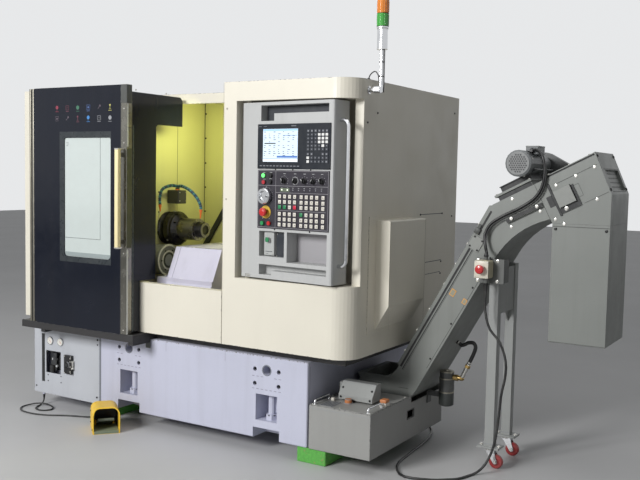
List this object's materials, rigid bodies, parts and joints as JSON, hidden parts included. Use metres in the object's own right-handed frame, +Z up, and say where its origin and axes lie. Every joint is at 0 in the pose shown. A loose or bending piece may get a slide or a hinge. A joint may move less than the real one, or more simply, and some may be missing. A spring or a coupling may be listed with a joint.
{
  "type": "cnc turning lathe",
  "caption": "Compact enclosed turning lathe with sliding door, swivelling operator panel, signal lamp, coolant tank, inclined chip conveyor and foot pedal.",
  "frame": {"origin": "on the floor under the middle of the box of all solids, free cords left out", "axes": "+X to the right along the machine's front, +Y from front to rear, +Z up"},
  "size_m": [3.0212, 1.3458, 2.0806],
  "materials": {
    "cream_paint": "semi-gloss cream paint",
    "lavender_paint": "semi-gloss pale lavender paint",
    "service_grey_paint": "semi-gloss cool grey paint",
    "dark_paint": "satin near-black paint",
    "door_paint": "glossy navy-black paint",
    "timber": "rough sawn timber painted green",
    "window_glass": "flat laminated window",
    "trim_aluminium": "brushed anodised trim",
    "chrome_bar": "polished",
    "chuck_steel": "dark ground steel",
    "hose_teal": "segmented blue hose",
    "hub_grey_paint": "satin grey paint",
    "panel_grey_paint": "satin light grey paint",
    "bezel_plastic": "satin dark bezel",
    "switch_plastic": "satin dark panel film",
    "black_plastic": "satin black",
    "red_plastic": "glossy red",
    "green_plastic": "glossy green",
    "green_lens": "translucent green lens",
    "amber_lens": "translucent amber lens",
    "conveyor_paint": "satin mid-grey paint",
    "light_grey_paint": "satin light grey paint",
    "tank_paint": "satin grey paint",
    "motor_paint": "satin grey paint",
    "cable_rubber": "matt black cable sheath",
    "pedal_yellow_paint": "glossy yellow paint",
    "pedal_grey_paint": "rough grey tread"
  },
  "bodies": {
    "machine": {"air_unit": "dark_paint", "base_casting": "lavender_paint", "chain_guard": "dark_paint", "conveyor_body": "conveyor_paint", "conveyor_head": "conveyor_paint", "conveyor_lead": "cable_rubber", "conveyor_legs": "light_grey_paint", "coolant_block": "hub_grey_paint", "coolant_filter": "dark_paint", "coolant_hose": "hose_teal", "coolant_tank": "tank_paint", "discharge_chute": "conveyor_paint", "drive_motor": "motor_paint", "filter_hose": "cable_rubber", "front_apron": "cream_paint", "headstock_body": "cream_paint", "lamp_amber": "amber_lens", "lamp_green": "green_lens", "lamp_pole": "chrome_bar", "motor_cable": "cable_rubber", "pedal_cord": "cable_rubber", "pedal_guard": "pedal_yellow_paint", "probe_arm_hub": "hub_grey_paint", "pump_cover": "light_grey_paint", "right_body": "cream_paint", "roof": "cream_paint", "service_panel": "service_grey_paint", "side_cover": "cream_paint", "slant_guard": "dark_paint", "spindle_flange": "chuck_steel", "stop_box": "cream_paint", "sub_frame": "dark_paint", "tank_lid": "tank_paint", "timber_left": "timber", "timber_right": "timber"},
    "door": {"door_panel": "door_paint", "door_window": "window_glass", "door_edge": "trim_aluminium", "door_return": "door_paint"},
    "carriage": {"carriage_cover": "lavender_paint"},
    "spindle": {"collet_chuck": "chuck_steel"},
    "operator_panel": {"panel_case": "panel_grey_paint", "display_unit": "bezel_plastic", "switch_panel": "switch_plastic", "panel_handle": "chrome_bar"},
    "handwheel_dial": {"handwheel": "chrome_bar"},
    "emergency_push": {"emergency_button": "red_plastic"},
    "start_push": {"start_button": "green_plastic"},
    "stop_push": {"stop_button": "red_plastic"},
    "conveyor_stop_push": {"conveyor_stop_button": "red_plastic"},
    "front_fork": {"caster_fork_front": "chrome_bar"},
    "rear_fork": {"caster_fork_rear": "chrome_bar"},
    "front_wheel": {"caster_wheel_front": "red_plastic"},
    "rear_wheel": {"caster_wheel_rear": "red_plastic"},
    "pedal": {"foot_pedal": "pedal_grey_paint"},
    "selector_1": {"selector_knob_1": "black_plastic"},
    "selector_2": {"selector_knob_2": "black_plastic"},
    "selector_3": {"selector_knob_3": "black_plastic"},
    "selector_4": {"selector_knob_4": "black_plastic"},
    "selector_5": {"selector_knob_5": "black_plastic"}
  },
  "joints": [
    {"name": "door_slide", "type": "slide", "parent": "machine", "child": "door", "axis": [1, 0, 0], "range_m": [0, 0.5]},
    {"name": "carriage_slide", "type": "slide", "parent": "machine", "child": "carriage", "axis": [1, 0, 0], "range_m": [-0.035, 0.14]},
    {"name": "spindle_turn", "type": "hinge", "parent": "machine", "child": "spindle", "pos_m": [-0.75305, -0.12413, 1.003], "axis": [1, 0, 0], "continuous": true},
    {"name": "panel_swivel", "type": "hinge", "parent": "machine", "child": "operator_panel", "pos_m": [-0.03565, -0.42213, 0.828], "axis": [0, 0, 1], "range_deg": [-60, 6]},
    {"name": "handwheel_turn", "type": "hinge", "parent": "operator_panel", "child": "handwheel_dial", "pos_m": [0.09432, -0.46757, 1.2035], "axis": [0.1045, 0.9945, 0], "continuous": true},
    {"name": "selector_1_turn", "type": "hinge", "parent": "operator_panel", "child": "selector_1", "pos_m": [0.19974, -0.47865, 1.2755], "axis": [0.1045, 0.9945, 0], "range_deg": [-60, 60]},
    {"name": "selector_2_turn", "type": "hinge", "parent": "operator_panel", "child": "selector_2", "pos_m": [0.2604, -0.48502, 1.2755], "axis": [0.1045, 0.9945, 0], "range_deg": [-60, 60]},
    {"name": "selector_3_turn", "type": "hinge", "parent": "operator_panel", "child": "selector_3", "pos_m": [0.31311, -0.49056, 1.2755], "axis": [0.1045, 0.9945, 0], "range_deg": [-60, 60]},
    {"name": "selector_4_turn", "type": "hinge", "parent": "operator_panel", "child": "selector_4", "pos_m": [0.36035, -0.49553, 1.2755], "axis": [0.1045, 0.9945, 0], "range_deg": [-60, 60]},
    {"name": "selector_5_turn", "type": "hinge", "parent": "operator_panel", "child": "selector_5", "pos_m": [0.40858, -0.5006, 1.2755], "axis": [0.1045, 0.9945, 0], "range_deg": [-60, 60]},
    {"name": "emergency_press", "type": "slide", "parent": "operator_panel", "child": "emergency_push", "axis": [0.1045, 0.9945, 0], "range_m": [0, 0.003]},
    {"name": "start_press", "type": "slide", "parent": "operator_panel", "child": "start_push", "axis": [0.1045, 0.9945, 0], "range_m": [0, 0.003], "stiffness_N_per_m": 300, "springref_m": -0.001},
    {"name": "stop_press", "type": "slide", "parent": "operator_panel", "child": "stop_push", "axis": [0.1045, 0.9945, 0], "range_m": [0, 0.003], "stiffness_N_per_m": 300, "springref_m": -0.001},
    {"name": "conveyor_stop_press", "type": "slide", "parent": "machine", "child": "conveyor_stop_push", "axis": [0, 1, 0], "range_m": [0, 0.003]},
    {"name": "front_caster_swivel", "type": "hinge", "parent": "machine", "child": "front_fork", "pos_m": [1.01935, 0.00387, 0.0917], "axis": [0, 0, 1], "continuous": true},
    {"name": "front_caster_roll", "type": "hinge", "parent": "front_fork", "child": "front_wheel", "pos_m": [1.04935, 0.00387, 0.032], "axis": [0, 1, 0], "continuous": true},
    {"name": "rear_caster_swivel", "type": "hinge", "parent": "machine", "child": "rear_fork", "pos_m": [1.01935, 0.22387, 0.0917], "axis": [0, 0, 1], "continuous": true},
    {"name": "rear_caster_roll", "type": "hinge", "parent": "rear_fork", "child": "rear_wheel", "pos_m": [1.04935, 0.22387, 0.032], "axis": [0, 1, 0], "continuous": true},
    {"name": "pedal_press", "type": "hinge", "parent": "machine", "child": "pedal", "pos_m": [-0.84805, -0.53019, 0.027], "axis": [0.6481, 0.7615, 0], "range_deg": [0, 12], "stiffness_Nm_per_rad": 0.5, "springref_deg": -17.19}
  ]
}
